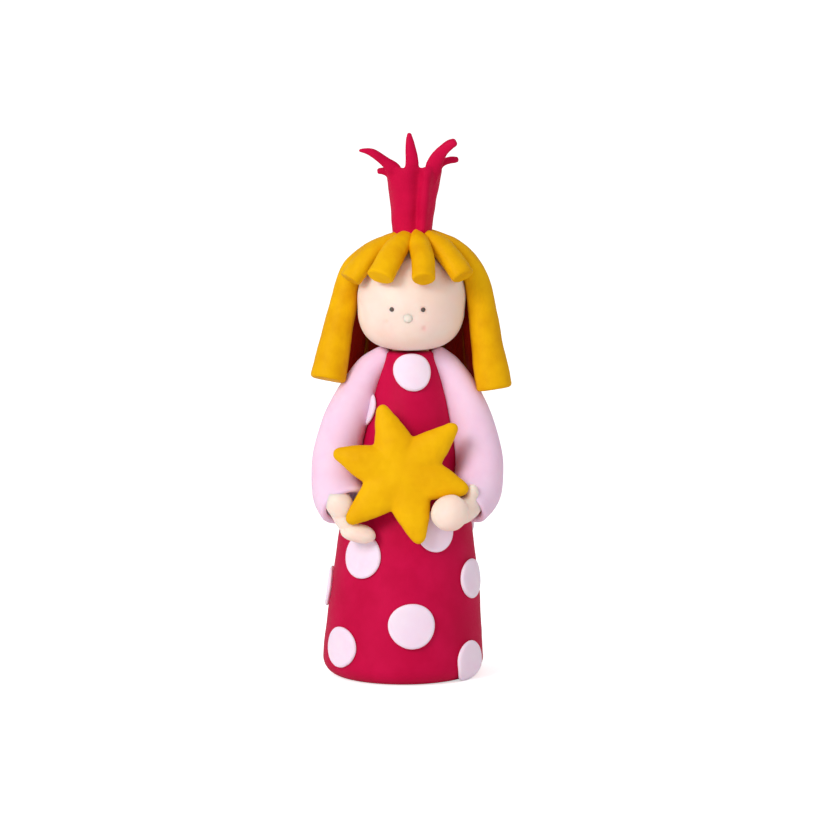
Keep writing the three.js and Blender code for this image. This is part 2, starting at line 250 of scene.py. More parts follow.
def clay_skin_group():
    """Uneven tone, grain and faint finger marks of modelling clay, all in object space."""
    group = bpy.data.node_groups.new("clay_skin", "ShaderNodeTree")
    sockets = group.interface
    for name, kind in (("Colour", "Color"), ("Shade", "Color"), ("Patch Scale", "Float"),
                       ("Grain Scale", "Float"), ("Print Scale", "Float"), ("Roughness", "Float")):
        sockets.new_socket(name=name, in_out="INPUT", socket_type=f"NodeSocket{kind}")
    for name, kind in (("Colour", "Color"), ("Roughness", "Float"), ("Height", "Float")):
        sockets.new_socket(name=name, in_out="OUTPUT", socket_type=f"NodeSocket{kind}")
    nodes, links = group.nodes, group.links
    given = nodes.new("NodeGroupInput")
    out = nodes.new("NodeGroupOutput")
    place = nodes.new("ShaderNodeTexCoord")

    def noise_of(scale_socket, detail, roughness):
        made = nodes.new("ShaderNodeTexNoise")
        made.inputs["Detail"].default_value = detail
        made.inputs["Roughness"].default_value = roughness
        links.new(place.outputs["Object"], made.inputs["Vector"])
        links.new(scale_socket, made.inputs["Scale"])
        return made.outputs["Fac"]

    def math_of(kind, first, second):
        made = nodes.new("ShaderNodeMath")
        made.operation = kind
        for socket, value in zip(made.inputs, (first, second)):
            if isinstance(value, float):
                socket.default_value = value
            else:
                links.new(value, socket)
        return made.outputs[0]

    patch = noise_of(given.outputs["Patch Scale"], 3.0, 0.55)
    grain = noise_of(given.outputs["Grain Scale"], 4.0, 0.6)
    spread = nodes.new("ShaderNodeMapRange")
    spread.inputs["From Min"].default_value = 0.36
    spread.inputs["From Max"].default_value = 0.64
    links.new(patch, spread.inputs["Value"])
    tone = nodes.new("ShaderNodeMix")
    tone.data_type = "RGBA"
    links.new(spread.outputs["Result"], tone.inputs["Factor"])
    links.new(given.outputs["Colour"], tone.inputs["A"])
    links.new(given.outputs["Shade"], tone.inputs["B"])
    links.new(tone.outputs["Result"], out.inputs["Colour"])

    prints = nodes.new("ShaderNodeTexWave")
    prints.wave_type = "RINGS"
    prints.inputs["Distortion"].default_value = 9.0
    prints.inputs["Detail"].default_value = 1.0
    prints.inputs["Detail Scale"].default_value = 0.35
    links.new(place.outputs["Object"], prints.inputs["Vector"])
    links.new(given.outputs["Print Scale"], prints.inputs["Scale"])
    pressed = math_of("MULTIPLY", prints.outputs["Fac"], spread.outputs["Result"])
    ridges = math_of("MULTIPLY", pressed, 0.18)
    height = math_of("ADD", grain, ridges)
    links.new(height, out.inputs["Height"])

    drift = math_of("MULTIPLY", math_of("SUBTRACT", grain, 0.5), 0.5)
    links.new(math_of("ADD", given.outputs["Roughness"], drift), out.inputs["Roughness"])
    return group


CLAY_SKIN = clay_skin_group()


def srgb(red, green, blue):
    """Linear colour from display values of 0 to 255."""
    def linear(value):
        share = value / 255
        return share / 12.92 if share <= 0.04045 else ((share + 0.055) / 1.055) ** 2.4
    return (linear(red), linear(green), linear(blue), 1.0)


def clay(name, colour, shade, roughness=0.55, relief=0.00006, glow=0.0, shine=0.2):
    """A clay finish. `glow` is how much light sinks in, `relief` the grain's depth in metres."""
    material = bpy.data.materials.new(name)
    material.use_nodes = True
    nodes, links = material.node_tree.nodes, material.node_tree.links
    shader = nodes["Principled BSDF"]
    skin = nodes.new("ShaderNodeGroup")
    skin.node_tree = CLAY_SKIN
    skin.inputs["Colour"].default_value = colour
    skin.inputs["Shade"].default_value = shade
    skin.inputs["Patch Scale"].default_value = 110.0
    skin.inputs["Grain Scale"].default_value = 2600.0
    skin.inputs["Print Scale"].default_value = 900.0
    skin.inputs["Roughness"].default_value = roughness
    bump = nodes.new("ShaderNodeBump")
    bump.inputs["Strength"].default_value = 0.5
    bump.inputs["Distance"].default_value = relief
    links.new(skin.outputs["Colour"], shader.inputs["Base Color"])
    links.new(skin.outputs["Roughness"], shader.inputs["Roughness"])
    links.new(skin.outputs["Height"], bump.inputs["Height"])
    links.new(bump.outputs["Normal"], shader.inputs["Normal"])
    shader.inputs["Specular IOR Level"].default_value = shine
    if glow:
        shader.inputs["Subsurface Weight"].default_value = glow
        shader.inputs["Subsurface Radius"].default_value = (1.0, 0.5, 0.4)
        shader.inputs["Subsurface Scale"].default_value = 0.003
    return material


def tint_where(material, mask, colour):
    """Mixes another colour in where the piece's own mask, kept on its points, asks for it."""
    nodes, links = material.node_tree.nodes, material.node_tree.links
    shader = nodes["Principled BSDF"]
    plain = shader.inputs["Base Color"].links[0].from_socket
    share = nodes.new("ShaderNodeAttribute")
    share.attribute_name = mask
    mix = nodes.new("ShaderNodeMix")
    mix.data_type = "RGBA"
    mix.inputs["B"].default_value = colour
    links.new(share.outputs["Fac"], mix.inputs["Factor"])
    links.new(plain, mix.inputs["A"])
    links.new(mix.outputs["Result"], shader.inputs["Base Color"])


CRIMSON = clay("crimson_clay", srgb(197, 11, 68), srgb(188, 6, 61), shine=0.06)
CROWN_RED = clay("crown_clay", srgb(205, 10, 66), srgb(192, 5, 60), shine=0.06)
HAIR = clay("hair_clay", srgb(236, 178, 4), srgb(222, 158, 2), relief=0.00011, shine=0.06)
# Painted shade: the side of each strand that faces the head is tinted dark red-brown, as the hair looks
# in deep shade.
tint_where(HAIR, "inner", srgb(140, 22, 4))
STAR_YELLOW = clay("star_clay", srgb(237, 179, 5), srgb(228, 166, 3), relief=0.00009, shine=0.06)
FLESH = clay("flesh_clay", srgb(247, 225, 213), srgb(246, 218, 204), roughness=0.5, relief=0.00004,
             glow=0.8)
tint_where(FLESH, "blush", srgb(244, 176, 172))
SLEEVE_PINK = clay("sleeve_clay", srgb(243, 208, 230), srgb(239, 199, 225), glow=0.35)
DOT_PINK = clay("dot_clay", srgb(249, 226, 240), srgb(246, 218, 236), roughness=0.5, glow=0.35)
EYE_INK = clay("eye_ink", srgb(100, 86, 79), srgb(84, 72, 66), roughness=0.4)


def birch():
    """Plain sanded birch: long fine grain lines over a pale ground."""
    material = bpy.data.materials.new("birch")
    material.use_nodes = True
    nodes, links = material.node_tree.nodes, material.node_tree.links
    shader = nodes["Principled BSDF"]
    place = nodes.new("ShaderNodeTexCoord")
    stretch = nodes.new("ShaderNodeMapping")
    stretch.inputs["Scale"].default_value = (900.0, 900.0, 25.0)
    grain = nodes.new("ShaderNodeTexNoise")
    grain.inputs["Scale"].default_value = 1.0
    grain.inputs["Detail"].default_value = 4.0
    ramp = nodes.new("ShaderNodeValToRGB")
    ramp.color_ramp.elements[0].position = 0.35
    ramp.color_ramp.elements[0].color = srgb(196, 162, 116)
    ramp.color_ramp.elements[1].position = 0.65
    ramp.color_ramp.elements[1].color = srgb(232, 208, 168)
    links.new(place.outputs["Object"], stretch.inputs["Vector"])
    links.new(stretch.outputs["Vector"], grain.inputs["Vector"])
    links.new(grain.outputs["Fac"], ramp.inputs["Fac"])
    links.new(ramp.outputs["Color"], shader.inputs["Base Color"])
    shader.inputs["Roughness"].default_value = 0.75
    return material


BIRCH = birch()


# Dress and its dots

NECK_RADIUS = 6.5
DRESS_FOOT = 4.6              # radius of the rounded bottom edge
FOOT_SPREAD = 0.35            # how far the clay bulges at the foot, under its own weight
FOOT_FADE = 9.0               # height over which that bulge fades
BELL_POWER = 1.74             # how late the side turns in to the neck


def bell(height):
    """Radius of the dress above its rounded foot."""
    spread = FOOT_SPREAD * math.exp(-(height / FOOT_FADE) ** 2)
    return DRESS_RADIUS + spread - (DRESS_RADIUS - NECK_RADIUS) * (height / DRESS_TOP) ** BELL_POWER


def dress_side():
    """Points [radius, height] up the side of the dress, from the edge of its flat underside."""
    foot, wall = 12, 84
    widest = bell(DRESS_FOOT)
    side = []
    for i in range(foot):
        turn = math.pi / 2 * i / foot
        side.append((widest - DRESS_FOOT * (1 - math.sin(turn)), DRESS_FOOT * (1 - math.cos(turn))))
    for i in range(wall + 1):
        height = DRESS_FOOT + (DRESS_TOP - DRESS_FOOT) * i / wall
        side.append((bell(height), height))
    return side


SIDE = dress_side()
SIDE_REACH = [0.0]
for (r0, z0), (r1, z1) in zip(SIDE, SIDE[1:]):
    SIDE_REACH.append(SIDE_REACH[-1] + math.hypot(r1 - r0, z1 - z0))


def up_the_side(reach):
    """Radius, height and outward slope (radial, upward) at a distance measured up the side."""
    reach = min(max(reach, 0.0), SIDE_REACH[-1] - 1e-6)
    i = next(k for k in range(len(SIDE) - 1) if SIDE_REACH[k + 1] > reach)
    share = (reach - SIDE_REACH[i]) / (SIDE_REACH[i + 1] - SIDE_REACH[i])
    (r0, z0), (r1, z1) = SIDE[i], SIDE[i + 1]
    run = math.hypot(r1 - r0, z1 - z0)
    return r0 + (r1 - r0) * share, z0 + (z1 - z0) * share, (z1 - z0) / run, -(r1 - r0) / run


def make_dress():
    """The bell, its wall a little uneven and its underside flat."""
    bm = bmesh.new()
    edge = SIDE[0][0]
    turned_skin(bm, [(0, 0), (edge * 0.5, 0), (edge * 0.93, 0), *SIDE,
                     (NECK_RADIUS * 0.5, DRESS_TOP), (0, DRESS_TOP)], 128)
    underside, calm_to = 0.4, 8.0
    for vert in bm.verts:
        if vert.co.z <= underside:
            continue
        outward = Vector((vert.co.x, vert.co.y, 0)).normalized()
        broad = noise.noise(vert.co / 16) * 0.42
        fine = noise.noise(vert.co / 6 + Vector((3, 1, 4))) * 0.14
        vert.co += outward * (0.1 + broad + fine) * min(1.0, vert.co.z / calm_to)
    return finish_piece(bm, "dress", "dress_body", CRIMSON, levels=1)


DOTS = 20
DOT_RADIUS = 5.6
DOT_THICKNESS = 1.25
DOT_SUNK = 0.45
DOT_EDGE = DOT_THICKNESS * 0.56        # height of the rounded edge
DOT_EDGE_DEPTH = DOT_EDGE * 1.25
DOT_LOWEST = 0.06                      # clearance of a dot from the ground
DOT_UNEVEN = 0.09


def dot_profile(radius):
    """Points [share of the radius, height] from the dot's undercut foot in over its face."""
    profile = [(0.88, -DOT_SUNK), (0.88, 0.0), (0.92, 0.2), (0.98, 0.42)]
    steps = 7
    for i in range(steps + 1):
        turn = math.pi / 2 * i / steps
        profile.append((1 - (1 - math.cos(turn)) * DOT_EDGE_DEPTH / radius,
                        DOT_THICKNESS - DOT_EDGE + DOT_EDGE * math.sin(turn)))
    return profile + [(0.66, DOT_THICKNESS - 0.02), (0.45, DOT_THICKNESS - 0.05),
                      (0.22, DOT_THICKNESS - 0.08)]


def make_dot(number, node):
    """A pressed disc of clay that follows the dress. Its place comes from the frame's own disc."""
    low, high = box_mm(node)
    middle = (low + high) / 2
    azimuth = math.atan2(middle.x - LEAN * middle.z, -middle.y)
    cut_by_ground = low.z <= 0.5
    radius = DOT_RADIUS if cut_by_ground else (high.z - low.z) / 2
    level = high.z - radius if cut_by_ground else middle.z
    dice = random.Random(number)
    oval, oval_turn = dice.uniform(0.01, 0.04), dice.uniform(0, math.pi)
    wobble, wobble_turn = dice.uniform(0.004, 0.015), dice.uniform(0, math.pi)
    reach = next((reach for reach, (_, height) in zip(SIDE_REACH, SIDE) if height >= level),
                 SIDE_REACH[-1])
    rings = [Matrix.Translation((0, 0, proud)) @ Matrix.Diagonal((share * radius, share * radius, 1, 1))
             for share, proud in dot_profile(radius)]
    bm = bmesh.new()
    tube_skin(bm, rings, 48)
    for vert in bm.verts:
        turn = math.atan2(vert.co.y, vert.co.x)
        swell = 1 + oval * math.cos(2 * (turn - oval_turn)) + wobble * math.cos(3 * (turn - wobble_turn))
        sideways, upward = vert.co.x * swell, vert.co.y * swell
        proud = vert.co.z + DOT_UNEVEN * noise.noise(Vector((sideways / 3, upward / 3, number * 5.3)))
        skin, height, out, lift = up_the_side(reach + upward)
        angle = azimuth + sideways / skin
        distance = skin + out * proud
        vert.co = (distance * math.sin(angle), -distance * math.cos(angle),
                   max(height + lift * proud, DOT_LOWEST))
    bmesh.ops.recalc_face_normals(bm, faces=bm.faces)
    return finish_piece(bm, f"dot_pressed_{number:02d}", node, DOT_PINK, levels=1)


# Head and face

HEAD_MIDDLE = Vector((0, 0, HEAD_LEVEL))
JAW_POWER = 2.9               # 2 is an oval jaw, and more is squarer
JAW_BLEND = 0.35              # how far below the middle the jaw takes over, as a share of the way down
FACE_SHIFT = -1.1             # the face is turned a little to one side
EYE_LEVEL = -1.7
EYE_APART = 4.3               # from the middle of the face to each eye
EYE_DENT = (0.16, 1.0)        # depth and reach of the dent round an eye
NOSE_PLACE = (FACE_SHIFT + 0.2, -4.3)
CHEEK_LEVEL = -6.0
CHEEK_APART = 6.2
CHEEK_BLUSH = (0.14, 3.4)     # strength and reach
MOUTH = [(-6.9, -5.4), (-4.6, -7.6), (-1.7, -8.6), (1.2, -8.3), (3.6, -7.0)]
MOUTH_GROOVE = (0.05, 0.4)    # depth and reach
MOUTH_DIMPLE = (0.26, 0.7)
MOUTH_BLUSH = (0.4, 0.8)


def head_surface(direction):
    """Where a ray from the head's middle meets its skin, a ball with a full, flat-chinned jaw."""
    if direction.z >= 0:
        return direction * HEAD_RADIUS
    across = math.hypot(direction.x, direction.y) / HEAD_RADIUS
    down = -direction.z / CHIN_DROP
    size = (across ** JAW_POWER + down ** JAW_POWER) ** (-1 / JAW_POWER)
    blend = min(1.0, -direction.z / JAW_BLEND)
    blend = blend * blend * (3 - 2 * blend)
    return direction * (HEAD_RADIUS + (size - HEAD_RADIUS) * blend)


def on_face(right, above, proud=0.0):
    """A point on the face, the given distances right of and above its middle."""
    direction = Vector((right, -HEAD_RADIUS, above)).normalized()
    for _ in range(8):
        spot = head_surface(direction)
        direction = Vector((right, spot.y, above)).normalized()
    return HEAD_MIDDLE + head_surface(direction) + direction * proud


def dab(vert, spots, strength, reach):
    """What soft dabs of the given strength and reach, one at each spot, come to at a point."""
    return sum(strength * math.exp(-((vert.co - spot).length / reach) ** 2) for spot in spots)


def make_head():
    """The ball of the head, with dents for the eyes, a faint mouth and blush on the cheeks."""
    bm = bmesh.new()
    bmesh.ops.create_icosphere(bm, subdivisions=7, radius=1)
    for vert in bm.verts:
        vert.co = head_surface(vert.co.normalized()) + HEAD_MIDDLE
    knead(bm, 0.16, 9.0, 2)
    smile = [on_face(*on_curve(MOUTH, i / 40)) for i in range(41)]
    corners = [smile[0], smile[-1]]
    eyes = [on_face(FACE_SHIFT + side, EYE_LEVEL) for side in (-EYE_APART, EYE_APART)]
    cheeks = [on_face(FACE_SHIFT + side, CHEEK_LEVEL) for side in (-CHEEK_APART, CHEEK_APART)]
    bm.normal_update()
    blush = bm.verts.layers.float.new("blush")
    for vert in bm.verts:
        if vert.co.y > -6 or vert.co.z > HEAD_LEVEL + 3:      # off the face
            continue
        rosy = dab(vert, cheeks, *CHEEK_BLUSH) + dab(vert, corners[1:], *MOUTH_BLUSH)
        vert[blush] = min(rosy, 1.0)
        nearest = min(smile, key=lambda spot: (vert.co - spot).length)
        push = (dab(vert, [nearest], *MOUTH_GROOVE) + dab(vert, corners, *MOUTH_DIMPLE)
                + dab(vert, eyes, *EYE_DENT))
        vert.co -= vert.normal * push
    return finish_piece(bm, "head_ball", "head", FLESH)


def make_bead(name, node, right, above, radius, sunk, material, slot, squash=1.0):
    """A small ball pressed on to the face, its middle `sunk` below the skin."""
    bm = bmesh.new()
    spot = on_face(right, above, -sunk)
    outward = (spot - HEAD_MIDDLE).normalized()
    turn = outward.to_track_quat("Z", "Y").to_matrix().to_4x4()
    place = Matrix.Translation(spot) @ turn @ Matrix.Diagonal((1, 1, squash, 1))
    bmesh.ops.create_icosphere(bm, subdivisions=4, radius=radius, matrix=place)
    knead(bm, radius * 0.04, radius * 1.2, len(name))
    return finish_piece(bm, name, node, material)


# Hair

ROPE_HEIGHT = 2.95            # half the thickness of a strand, away from the head
ROOT_DOWN = 11.0              # where a strand starts, in degrees from the top of the head
LIFT_FROM = 44.0              # where a fringe strand starts to stand off the forehead, in degrees
ROOT_OVERLAP = (0.35, 12.0)   # how far strands lap at the root, as a share, and where it fades
SQUEEZE_POWER = 9             # how sharply a crowded strand narrows


def over_head(azimuth, down, lift):
    """A point over the head at an azimuth and an angle down from the top, `lift` clear of it."""
    direction = Vector((math.sin(down) * math.sin(azimuth), -math.sin(down) * math.cos(azimuth),
                        math.cos(down)))
    return HEAD_MIDDLE + direction * (HEAD_RADIUS + lift)


def crowded(width, angle, room):
    """Half the width of a strand where its neighbours leave it only `room` degrees round the head."""
    lap, fade = ROOT_OVERLAP
    overlap = 1 + lap * math.exp(-((angle - ROOT_DOWN) / fade) ** 2)
    ring = (HEAD_RADIUS + ROPE_HEIGHT) * math.sin(math.radians(angle))
    share = ring * math.radians(room) / 2 * overlap
    return (width ** -SQUEEZE_POWER + share ** -SQUEEZE_POWER) ** (-1 / SQUEEZE_POWER)


def rope_knots(azimuths, downs, widths, room, root, height, press, stand_off=0.0):
    """Knots of [x, y, z, half width, half thickness] down over the head.

    Azimuths and widths are given at both ends. The crown presses the strand from `height` down
    to `root`, and the effect fades over `press` degrees.
    """
    knots = []
    for i, angle in enumerate(downs):
        share = i / (len(downs) - 1)
        azimuth = azimuths[0] + (azimuths[1] - azimuths[0]) * share ** 2
        width = widths[0] + (widths[1] - widths[0]) * share
        thick = height + (root - height) * math.exp(-((angle - ROOT_DOWN) / press) ** 2)
        away = stand_off * (max(0.0, angle - LIFT_FROM) / (downs[-1] - LIFT_FROM)) ** 2
        spot = over_head(math.radians(azimuth), math.radians(angle), thick + away)
        knots.append((*spot, crowded(width, angle, room), thick))
    return knots


def paint_shade_on_inner_side(bm, start):
    """Marks how far each point of a strand faces the head, as the mask for painted shade on the inside of
    the hair.
    """
    bm.normal_update()
    layer = bm.verts.layers.float.new("inner")
    for vert in bm.verts:
        level = HEAD_MIDDLE.copy()
        level.z = min(vert.co.z, HEAD_LEVEL + 4)
        inward = (level - vert.co).normalized()
        vert[layer] = min(max((vert.normal.dot(inward) - start) * 2.4, 0.0), 1.0)


def make_rope(node, knots, lumps, seed, end_round=0.7, painted_shade_from=0.6):
    """One strand of hair, with broad lumps of the given depth and fine ones over them, and painted shade
    on the side that faces the head.
    """
    bm = bmesh.new()
    strand(bm, knots, HEAD_MIDDLE, sides=40, rings=64, start_round=0.2, end_round=end_round)
    knead(bm, lumps, 7.0, seed)
    knead(bm, 0.1, 1.8, seed + 3)
    paint_shade_on_inner_side(bm, painted_shade_from)
    return finish_piece(bm, f"{node}_rope", node, HAIR, levels=1)


FRINGE = {
    "fringe_1": dict(azimuths=(-66, -67), down_to=73, widths=(3.7, 4.4), room=50, root=2.1),
    "fringe_2": dict(azimuths=(-26, -30), down_to=68, widths=(3.4, 4.1), room=48, root=2.45),
    "fringe_3": dict(azimuths=(13, 10), down_to=69, widths=(3.1, 3.25), room=44, root=2.45),
    "fringe_4": dict(azimuths=(52, 51), down_to=69, widths=(3.1, 3.8), room=45, root=2.45),
}


def make_fringe(node, azimuths, down_to, widths, room, root):
    """A short strand over the forehead, down to an angle from the top of the head."""
    steps = 5
    downs = [ROOT_DOWN + (down_to - ROOT_DOWN) * i / steps for i in range(steps + 1)]
    knots = rope_knots(azimuths, downs, widths, room, root, ROPE_HEIGHT, press=26, stand_off=1.5)
    make_rope(node, knots, 0.3, down_to)


LONG_STRANDS = {              # hem: how far from the axis the end is, and its rise over HAIR_HEM
    "lock_left": dict(azimuth=-101, hem_azimuth=-84, width=3.5, room=38, root=1.7, height=3.8, press=48,
                      hem=(22.6, 1.9), hem_width=4.5, hem_height=5.0),
    "lock_right": dict(azimuth=88, hem_azimuth=84, width=3.9, room=38, root=2.4, height=4.5, press=74,
                       hem=(23.3, -0.6), hem_width=4.6, hem_height=5.0),
}
LONG_DOWNS = (ROOT_DOWN, 29, 47, 65, 83)      # where it lies on the head, in degrees from the top
BACK_STRANDS = 6
BACK_HEM_OUT = 17.5           # how far from the axis the strand straight behind ends
BACK_HEM_WIDER = 4.3          # and how much farther one at the side would
BACK_HEM_STEP = 0.8           # every other strand ends this much higher


def back_strands():
    """The strands between the two locks, spread evenly round the back of the head."""
    first = LONG_STRANDS["lock_right"]["azimuth"]
    last = 360 + LONG_STRANDS["lock_left"]["azimuth"]
    step = (last - first) / (BACK_STRANDS + 1)
    for i in range(BACK_STRANDS):
        azimuth = first + step * (i + 1)
        side = abs(math.sin(math.radians(azimuth)))
        yield f"back_hair_{i + 1}", dict(
            azimuth=azimuth, hem_azimuth=azimuth, width=3.7, room=step * 1.12, root=1.7, height=3.1,
            press=40, hem=(BACK_HEM_OUT + BACK_HEM_WIDER * side, (i % 2) * BACK_HEM_STEP),
            hem_width=4.3, hem_height=3.7, painted_shade_from=0.0)


def make_long_strand(node, azimuth, hem_azimuth, width, room, root, height, press, hem, hem_width,
                     hem_height, painted_shade_from=0.75):
    """A strand over the head that hangs free to the hem, `out` from the axis there."""
    knots = rope_knots((azimuth, azimuth), LONG_DOWNS, (width, width), room, root, height, press)
    out, rise = hem
    turn = math.radians(hem_azimuth)
    end = Vector((out * math.sin(turn), -out * math.cos(turn), HAIR_HEM + rise, hem_width, hem_height))
    start = Vector(knots[-1])
    knots += [start.lerp(end, t) for t in (1 / 3, 2 / 3, 1)]
    make_rope(node, knots, 0.28, azimuth, end_round=0.8, painted_shade_from=painted_shade_from)


# Crown

CROWN_SHIFT = -0.2
CROWN_RIM = 21.3
CROWN_WALL = [                # [radius, rise] up the outside, over the rim and down into the hollow
    (0, 0), (3.0, 0), (3.0, 2.2), (5.2, 2.4), (5.5, 2.8), (5.85, 7.5), (6.25, 11), (7.05, 15.9),
    (7.65, 19.4), (7.75, 20.8), (7.2, CROWN_RIM), (6.6, 20.5), (5.6, 16), (4.4, 12), (0, 11),
]
DRAWN_FROM = 16.0             # rise above which the wall is drawn up or pressed down
CROWN_DRAWN = ((-62, 1.0, 26), (50, 1.3, 26), (180, -2.6, 75))        # azimuth, height, spread
CROWN_POINTS = [              # knots of [x, y, rise, half width, half thickness]
    [(-4.0, -3.9, 16.0, 1.9, 0.6), (-5.2, -4.8, 20.1, 2.2, 0.9), (-7.5, -5.3, 22.4, 1.55, 1.0),
     (-9.7, -5.7, 24.2, 1.2, 1.0), (-11.7, -6.1, 25.4, 0.95, 0.9), (-13.6, -6.5, 25.9, 0.75, 0.75),
     (-15.2, -6.8, 25.9, 0.55, 0.5)],
    [(-0.5, -5.2, 16.0, 2.0, 0.6), (-0.45, -6.5, 20.0, 2.3, 0.85), (-0.5, -6.8, 22.8, 1.9, 0.95),
     (-0.85, -6.9, 25.7, 1.5, 1.0), (-1.25, -6.8, 28.6, 1.15, 0.95), (-1.5, -6.6, 30.9, 0.65, 0.6)],
    [(4.2, -3.9, 16.0, 1.9, 0.6), (5.1, -4.8, 20.4, 2.5, 0.9), (6.0, -5.1, 23.1, 2.1, 1.0),
     (7.5, -5.5, 25.5, 1.8, 1.0), (9.4, -5.9, 27.3, 1.5, 1.0), (11.3, -6.1, 28.3, 1.0, 0.85)],
    [(5.2, -1.4, 18.4, 1.4, 0.7), (6.9, -1.1, 21.6, 1.4, 0.9), (8.9, -0.8, 22.6, 1.0, 0.9),
     (10.7, -0.6, 22.9, 0.9, 0.85), (12.2, -0.6, 22.9, 0.8, 0.7)],
    [(-4.8, -0.8, 16.6, 1.2, 0.7), (-6.8, -0.9, 19.2, 1.3, 0.9), (-8.6, -1.0, 19.8, 1.1, 0.9),
     (-10.1, -1.0, 19.7, 0.9, 0.7)],
]
SEAM_TURN = 13                # azimuth of the lapped seam, in degrees
SEAM_DEPTH = 1.35
SEAM_SLOPES = (18, 7)         # spread of the seam's near and far side, in degrees
SEAM_LIP = (18, 12, 0.6)      # degrees past the seam, spread and height of the sheet's edge
SEAM_FOOT = (2.6, 1.5)        # rise where the seam starts, and over how much it deepens
SEAM_HEAD = (22.5, 3.0)       # rise where it ends, and over how much it fades
CROWN_PLUG = 3.2              # the seam leaves what is this near to the axis alone


def near(angle, middle, spread):
    """A smooth hump of 1 at the middle angle, in degrees all round."""
    away = (angle - middle + 180) % 360 - 180
    return math.exp(-(away / spread) ** 2)


def crown_azimuth(vert):
    return math.degrees(math.atan2(vert.co.x, -vert.co.y))


def fade_in(value, start, over):
    """0 up to the start, then evenly to 1."""
    return min(1.0, max(0.0, (value - start) / over))


def seam_lap(azimuth, rise):
    """How far the lapped seam moves the crown's front wall outward."""
    past, lip_spread, lip_height = SEAM_LIP
    slope = SEAM_SLOPES[0] if azimuth < SEAM_TURN else SEAM_SLOPES[1]
    lap = (lip_height * near(azimuth, SEAM_TURN + past, lip_spread)
           - SEAM_DEPTH * near(azimuth, SEAM_TURN, slope))
    head, head_fade = SEAM_HEAD
    return lap * fade_in(-rise, -head, head_fade) * fade_in(rise, *SEAM_FOOT)


def make_crown():
    """A rolled sheet with a lapped seam in front, slit at the top into curling points."""
    bm = bmesh.new()
    turned_skin(bm, CROWN_WALL, 72)
    for vert in bm.verts:
        azimuth = crown_azimuth(vert)
        share = max(0.0, (vert.co.z - DRAWN_FROM) / (CROWN_RIM - DRAWN_FROM))
        vert.co.z += share * sum(height * near(azimuth, middle, spread)
                                 for middle, height, spread in CROWN_DRAWN)
    for knots in CROWN_POINTS:
        strand(bm, knots, (0, 12, 18), sides=20, rings=34, end_round=0.5)
    bm = welded(bm, 0.23, 8)
    for vert in bm.verts:
        reach = math.hypot(vert.co.x, vert.co.y)
        if reach > CROWN_PLUG and vert.co.y < 0:
            vert.co.xy *= 1 + seam_lap(crown_azimuth(vert), vert.co.z) / reach
    rubbed(bm, 1)
    knead(bm, 0.3, 4.5, 11)
    bmesh.ops.translate(bm, verts=bm.verts, vec=(CROWN_SHIFT, 0, CROWN_FOOT))
    return finish_piece(bm, "crown_sheet", "crown", CROWN_RED)


# Sleeves, hands and star

SLEEVES = {                   # knots of [x, y, z, half width], from the shoulder to the cuff
    "sleeve_left": [
        (-5.6, 0.4, 89.4, 2.8), (-11.3, 0.5, 83.6, 4.5), (-15.3, -0.6, 75.4, 5.8),
        (-18.4, -2.8, 67, 6.5), (-19.5, -6, 59, 6.9), (-19.0, -10.4, 52.8, 7.1),
        (-17.0, -14.6, 49.2, 7.0),
    ],
    "sleeve_right": [
        (5.6, 0.4, 89.4, 2.8), (11.0, 0.6, 83.4, 4.5), (15.2, -0.6, 75, 5.7),
        (18.3, -2.6, 66.6, 6.4), (19.5, -5.4, 59, 6.7), (18.7, -9.4, 52.6, 7.0),
        (16.0, -12.6, 49.2, 6.8),
    ],
}
CUFF = (1.6, 0.86)            # thickness of the sleeve's edge, and how far down its hollow ends


def make_sleeve(node, knots):
    """A drop of clay that hangs from the shoulder, opened at the cuff."""
    bm = bmesh.new()
    strand(bm, knots, (0, 0, 60), sides=48, rings=64, start_round=1.6, cuff=CUFF)
    knead(bm, 0.45, 9.0, len(node))
    return finish_piece(bm, f"{node}_drop", node, SLEEVE_PINK, levels=1)


HANDS = {
    # Eggs of (middle, half sizes, turn) for the hand and its thumb, and the wrist and thumb root as
    # (knots of [x, y, z, half width], rings, rounding of the end).
    "hand_left": dict(
        eggs=[((-18.3, -17.6, 49.7), (3.7, 3.5, 4.8), (0, -32, 0)),
              ((-13.2, -18.6, 42.1), (4.9, 3.0, 2.7), (0, 12, 0))],
        rolls=[([(-19.3, -10.5, 52.2, 3.2), (-18.6, -14, 49.6, 3.4), (-17.2, -17.2, 46.4, 3.0),
                 (-14.6, -18.6, 43.0, 2.4)], 24, 2.0)],
        seed=5),
    "hand_right": dict(
        eggs=[((11.6, -22.4, 48.2), (5.1, 4.6, 5.0), (0, 0, 0)),
              ((17.6, -17.2, 52.6), (1.7, 1.7, 3.1), (20, 0, 0))],
        rolls=[([(18.6, -9.6, 51.6, 3.4), (17.4, -13, 49.6, 3.6), (15.4, -17.4, 48.2, 3.6),
                 (12.6, -21, 48, 3.6)], 24, 2.0),
               ([(16.8, -14.2, 49.4, 2.4), (17.4, -16.2, 51.0, 2.0), (17.7, -17.4, 53.0, 1.6)], 16, 1.2)],
        seed=6),
}


def make_hand(node, eggs, rolls, seed):
    """A mitten of a few lumps rubbed together, its wrist inside the cuff."""
    bm = bmesh.new()
    for middle, halves, turn in eggs:
        egg(bm, middle, halves, turn)
    for knots, rings, end_round in rolls:
        strand(bm, knots, (0, 0, 50), sides=20, rings=rings, end_round=end_round)
    bm = welded(bm, 0.27, 6)
    knead(bm, 0.2, 3.5, seed)
    return finish_piece(bm, f"{node}_mitten", node, FLESH)


